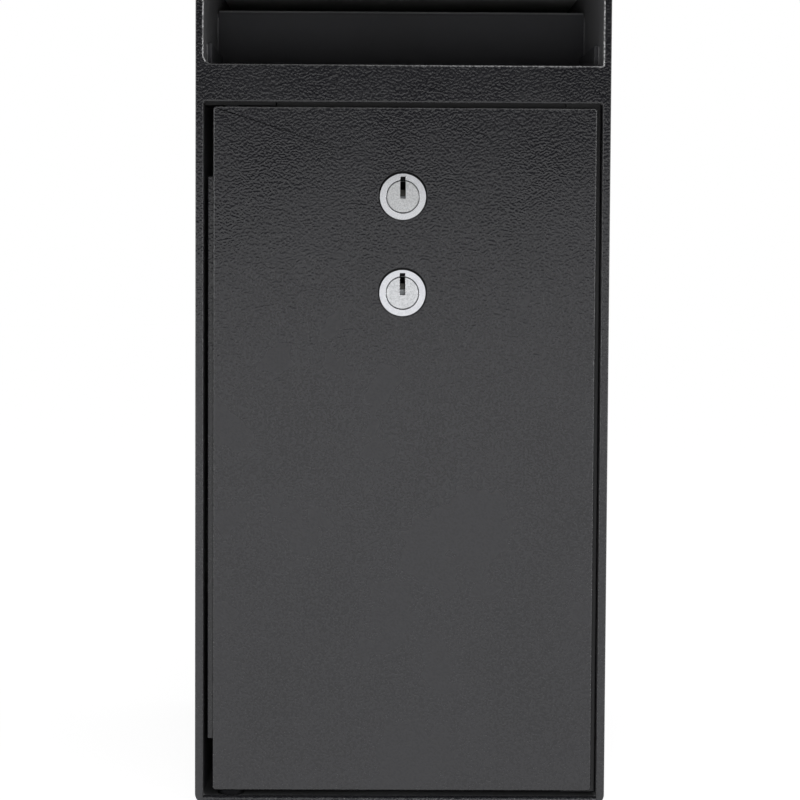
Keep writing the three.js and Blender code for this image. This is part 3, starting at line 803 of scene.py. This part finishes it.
def case_welds():
    bead, small_bead, seam = 1.3 * MM, 0.9 * MM, 0.55 * MM
    long_run, short_run = 16 * MM, 12 * MM
    upright_seams = (("baffle", baffle_front, chute_hi.z - SHEET), ("flange", flange_front, flange_top))
    for i, z in enumerate((20 * MM, 85 * MM, 140 * MM, 250 * MM)):
        start, end = (half_in, jamb_hi.y, z), (half_in, jamb_hi.y, z + long_run)
        weld_bead(f"jamb_weld_{i}", start, end, bead)
    for side, word in ((-1, "left"), (1, "right")):
        wall = side * half_in
        for i, y in enumerate((-80 * MM, -50 * MM)):
            start, end = (wall, y, flange_top), (wall, y + short_run, flange_top)
            weld_bead(f"flange_weld_{word}_{i}", start, end, small_bead)
        for part, y, top in upright_seams:
            start, end = (wall, y + seam / 2, bar_top), (wall, y + seam / 2, top)
            weld_bead(f"{part}_seam_{word}", start, end, seam, wall_coat)
    start = (-half_in, lintel_lo.y + 4 * MM, lintel_hi.z)
    end = (-half_in, lintel_hi.y - 2 * MM, lintel_hi.z)
    weld_bead("lintel_weld", start, end, bead)
    stop_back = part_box("top_stop")[1].y
    for i, x in enumerate((-38 * MM, 0, 38 * MM)):
        start, end = (x, stop_back, chute_lo.z), (x + short_run, stop_back, chute_lo.z)
        weld_bead(f"stop_weld_{i}", start, end, bead)


case_welds()


# Door.

def door_leaf():
    corner = 1.2 * MM
    hole_radius, hole_rise = 9.05 * MM, 0.25 * MM
    outline = rounded_loop(door_lo.x, door_hi.x, door_lo.z, door_hi.z, [corner] * 4, 6)
    leaf = prism("door_leaf", outline, door_lo.y, door_hi.y)
    holes = []
    for level in LEVELS:
        loop = circle_loop(0, lock_z[level] + hole_rise, hole_radius, 96)
        holes.append(prism("cut_lock", loop, door_lo.y - OVER, door_hi.y + OVER))
    combine(leaf, holes, "DIFFERENCE")
    hole_reach, end_reach = 12 * MM, 10 * MM
    rim_width, rim_depth, slack = 2 * MM, 1 * MM, 0.1 * MM

    def width(middle):
        """Full round the outline at the front, and less behind it and round the lock holes."""
        at_hole = abs(middle.x) < hole_reach and door_lo.z + end_reach < middle.z < door_hi.z - end_reach
        return 0.3 if at_hole or middle.y > door_lo.y + slack else 1.0

    def coat(face):
        x, _, z = face.center
        outer = abs(x) > hole_reach or z > door_hi.z - rim_width or z < door_lo.z + rim_width
        # The door's outer front rim takes the painted highlight.
        return door_edge_highlight if outer and on_front_rim(face, door_lo.y + rim_depth) else outer_coat

    tidy(leaf, merge=CLOSE)
    round_edges(leaf, 0.6 * MM, segments=4, weight=width, clamp=False)
    paint(leaf, outer_coat, door_edge_highlight, choose=coat)
    return add(leaf, "door", "powder_coat", "door_panel")


door_leaf()
dressed("hinge_stiffener", "door", "inner_coat", outer_coat, 0.4 * MM)
for level in LEVELS:
    dressed(f"{level}_hinge_block", "door", "inner_coat", inner_coat, 0.5 * MM)
    dressed(f"{level}_hinge_pin", "door", "dark_steel", dark_steel, 0.5 * MM)
lock_plate = dressed("lock_plate", "door", "plated_steel", zinc, 0.3 * MM)
# Painted shade: the lock plate's front faces are near-black, a dark ring round the lock holes.
paint(lock_plate, zinc, gap_shade_coat, choose=lambda face: gap_shade_coat if face.normal.y < -STRAIGHT else zinc)


# Locks.

def in_keyway(face, face_y):
    """Whether a face lies in the keyway, under the front at face_y."""
    half_width, under = 1.1 * MM, 0.25 * MM
    return abs(face.center.x) < half_width and face.center.y > face_y + under


def lock_housing(level):
    """The bright ring of the lock's head, painted shade in its bore, groove and keyway, and the threaded
    body behind.
    """
    head_thick, edge_depth, upright = 2.5 * MM, 0.3 * MM, 0.2
    ring = ring_metals[level]
    obj = copy_of(f"{level}_lock_housing", f"{level}_lock_ring")
    round_edges(obj, 0.4 * MM)
    face_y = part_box(f"{level}_lock_housing")[0].y
    head_back = face_y + head_thick

    def metal(face):
        groove = abs(face.normal.y) < upright and face_y + edge_depth < face.center.y < head_back
        # Painted shade in the groove and the keyway.
        if groove or in_keyway(face, face_y):
            return painted_shade_metal
        return thread if face.center.y > head_back else ring

    paint(obj, ring, thread, painted_shade_metal, choose=metal)
    add(obj, "door", "lock_nickel", f"{level}_lock_housing")


def lock_plug(level):
    """The plug's face, with painted shade at the top and bottom of the groove round it and in its keyway."""
    shade_share, shade_depth, flat_front = 0.88, 2 * MM, -0.97
    finish = plug_metals[level]
    edge_round = {"upper": 0.3 * MM, "lower": 0.16 * MM}[level]
    obj = copy_of(f"{level}_lock_plug", f"{level}_plug_face")
    round_edges(obj, edge_round)
    lo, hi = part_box(f"{level}_lock_plug")
    radius = (hi.x - lo.x) / 2

    def metal(face):
        in_groove = face.normal.y > flat_front and face.center.y < lo.y + shade_depth
        # Painted shade at the groove's top and bottom and in the keyway.
        in_shade = in_groove and abs(face.center.z - lock_z[level]) > shade_share * radius
        return painted_shade_metal if in_shade or in_keyway(face, lo.y) else finish

    paint(obj, finish, painted_shade_metal, choose=metal)
    add(obj, f"{level}_plug", "plug_nickel", f"{level}_lock_plug")


def lock_nut(level):
    """The hex nut, with its corners turned off at both ends."""
    lo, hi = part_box(f"{level}_lock_nut")
    corner = (hi.z - lo.z) / 2
    end_radius, full_radius = corner - 1.5 * MM, corner + 0.1 * MM
    slope, past = 0.8 * MM, 0.01 * MM
    obj = copy_of(f"{level}_lock_nut", f"{level}_hex_nut")
    profile = [
        (lo.y - past, 0),
        (lo.y - past, end_radius),
        (lo.y + slope, full_radius),
        (hi.y - slope, full_radius),
        (hi.y + past, end_radius),
        (hi.y + past, 0),
    ]
    combine(obj, [lathe("keep_nut", profile, 0, lock_z[level], 72)], "INTERSECT")
    round_edges(obj, 0.15 * MM, 2)
    paint(obj, zinc)
    add(obj, "door", "plated_steel", f"{level}_lock_nut")


def cross_recess_screw(name, node, body, axis_x, axis_z, shank, seat_y):
    """A pan head screw standing along Y, with its head just past the seat, towards the back of the safe."""
    lo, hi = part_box(node)
    head_radius = (hi.x - lo.x) / 2
    head_y = seat_y + 0.3 * MM
    top = hi.y
    dome = [
        (head_y, head_radius - 0.15 * MM),
        (head_y + 0.2 * MM, head_radius),
        (head_y + 0.8 * MM, head_radius),
        (top - 0.75 * MM, head_radius - 0.3 * MM),
        (top - 0.3 * MM, head_radius - 1.0 * MM),
        (top - 0.05 * MM, head_radius - 2.1 * MM),
        (top, 0),
    ]
    profile = [(lo.y, 0), (lo.y, shank - 0.3 * MM), (lo.y + 0.3 * MM, shank), (head_y, shank), *dome]
    obj = lathe(name, profile, axis_x, axis_z)
    arm, half, depth = 1.9 * MM, 0.38 * MM, 1.3 * MM
    cutters = [
        block("cut_recess", axis_x - dx, axis_x + dx, top - depth, top + OVER, axis_z - dz, axis_z + dz)
        for dx, dz in ((arm, half), (half, arm))
    ]
    combine(obj, cutters, "DIFFERENCE")
    smooth(obj, 32)
    paint(obj, zinc)
    add(obj, body, "plated_steel", node)


def lock_set(level):
    """One lock with its nut, cam and pin, and the bolt with its guide and screws."""
    plug, z = f"{level}_plug", lock_z[level]
    lock_housing(level)
    lock_plug(level)
    lock_nut(level)
    dressed(f"{level}_lock_wafer", plug, "wafer_metal", wafer_metals[level], 0.1 * MM)
    dressed(f"{level}_lock_cam", plug, "plated_steel", zinc, 0.3 * MM)
    dressed(f"{level}_drive_pin", plug, "dark_steel", dark_steel, 0.5 * MM, segments=3)
    dressed(f"{level}_bolt", f"{level}_slide", "plated_steel", zinc, 0.3 * MM, segments=3, clamp=False)
    dressed(f"{level}_bolt_guide", "door", "plated_steel", zinc, 0.35 * MM)
    dressed(f"{level}_guide_spacer", "door", "plated_steel", zinc, 0.25 * MM)
    bolt_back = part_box(f"{level}_bolt")[1].y
    cam_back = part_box(f"{level}_lock_cam")[1].y
    spacer_lo, spacer_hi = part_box(f"{level}_guide_spacer")
    tail_x = (spacer_lo.x + spacer_hi.x) / 2
    cross_recess_screw(f"{level}_tail_screw", f"{level}_guide_screw", "door", tail_x, z, 2.0 * MM, bolt_back)
    cross_recess_screw(f"{level}_cam_bolt", f"{level}_cam_screw", plug, 0, z, 1.5 * MM, cam_back)


for level in LEVELS:
    lock_set(level)


# Stage: floor, card, world, lamps and camera.

def stage_sheet(name, corners, material):
    sheet = object_from(name, corners, [(0, 1, 2, 3)])
    return paint(sheet, material)


def floor_material():
    """White to gloss, near white with faint shadows to the camera, and a bright grey to all other light."""
    s = Shader("stage_floor")
    paths = s.node("LightPath")
    mirrored = s.math("MAXIMUM", paths.outputs["Is Glossy Ray"], paths.outputs["Is Transmission Ray"])
    lit = s.node("BsdfDiffuse", Color=(0.8, 0.8, 0.8, 1))
    shadowed = s.node("BsdfDiffuse", Color=(0.4, 0.4, 0.4, 1))
    by_gloss = s.pair("MixShader", lit, s.glow("Emission", 1), Fac=mirrored)
    in_view = s.pair("AddShader", s.glow("Emission", 0.86), shadowed)
    surface = s.pair("MixShader", by_gloss, in_view, Fac=paths.outputs["Is Camera Ray"])
    s.put(surface.outputs[0], s.tree.nodes["Material Output"].inputs["Surface"])
    s.tree.nodes.remove(s.shader)
    return s.material


def stage_world():
    """A soft white world that the camera and gloss see at full white."""
    world = bpy.data.worlds.new("studio")
    bpy.context.scene.world = world
    world.use_nodes = True
    s = Nodes(world.node_tree)
    s.tree.nodes.clear()
    paths = s.node("LightPath")
    mirrored = s.math("MAXIMUM", paths.outputs["Is Glossy Ray"], paths.outputs["Is Transmission Ray"])
    seen = s.math("MAXIMUM", paths.outputs["Is Camera Ray"], mirrored)
    surface = s.pair("MixShader", s.glow("Background", 0.35), s.glow("Background", 1), Fac=seen)
    s.put(surface.outputs[0], s.node("OutputWorld").inputs["Surface"])


def lamp(name, place, aim, width, height, power):
    data = bpy.data.lights.new(name, "AREA")
    data.shape = "RECTANGLE"
    data.size = width
    data.size_y = height
    data.energy = power
    obj = new_object(name, data)
    obj.location = place
    obj.rotation_euler = (Vector(aim) - Vector(place)).to_track_quat("-Z", "Y").to_euler()
    return obj


def fitted_camera():
    """The photograph's view: a place before the front, three angles and a focal length in pixels."""
    away, place_x, place_z = 0.9, -0.01165, 0.20286
    pitch, yaw, roll = (math.radians(v) for v in (3.317, 0.698, 0.32))
    picture_pixels, focal_pixels = 800, 2450.3
    data = bpy.data.cameras.new("camera")
    data.sensor_width = 36
    data.lens = focal_pixels / picture_pixels * data.sensor_width
    data.clip_start, data.clip_end = 0.05, 50
    camera = new_object("camera", data)
    bpy.context.scene.camera = camera
    forward = Vector((math.sin(yaw) * math.cos(pitch), math.cos(yaw) * math.cos(pitch), -math.sin(pitch)))
    level = Vector((math.cos(yaw), -math.sin(yaw), 0))
    up = level.cross(forward)
    right = math.cos(roll) * level + math.sin(roll) * up
    top = math.cos(roll) * up - math.sin(roll) * level
    turn = Matrix((right, top, -forward)).transposed()
    camera.matrix_world = Matrix.Translation(Vector((place_x, front - away, place_z))) @ turn.to_4x4()


def build_stage():
    side = 6
    ground = [(-side, -side, 0), (side, -side, 0), (side, side, 0), (-side, side, 0)]
    floor = stage_sheet("stage_floor", ground, floor_material())

    half, low, high = 0.8, (-0.46, 0.256), (-0.91, 1.1)
    hung = [(-half, *low), (half, *low), (half, *high), (-half, *high)]
    black = Shader("stage_card").feed(
        Base_Color=(0.01, 0.01, 0.01, 1), Roughness=1.0, Specular_IOR_Level=0.0
    )
    card = stage_sheet("stage_card", hung, black)
    card.visible_camera = False

    stage_world()
    door, hopper = (0, -0.1, 0.2), (0, -0.1, 0.29)
    lamp("key_light", (0.22, -0.45, 0.85), door, width=0.35, height=0.25, power=0.6)
    lamp("right_light", (0.95, -0.75, 0.3), door, width=0.5, height=0.5, power=3.8)
    lamp("left_light", (-0.95, -0.75, 0.3), door, width=0.5, height=0.5, power=3.6)
    fill = lamp("hopper_fill", (0, -1.1, 0.19), hopper, width=0.3, height=0.37, power=4.4)
    fill.visible_glossy = False
    fitted_camera()


build_stage()
bpy.context.scene.view_settings.view_transform = "Standard"
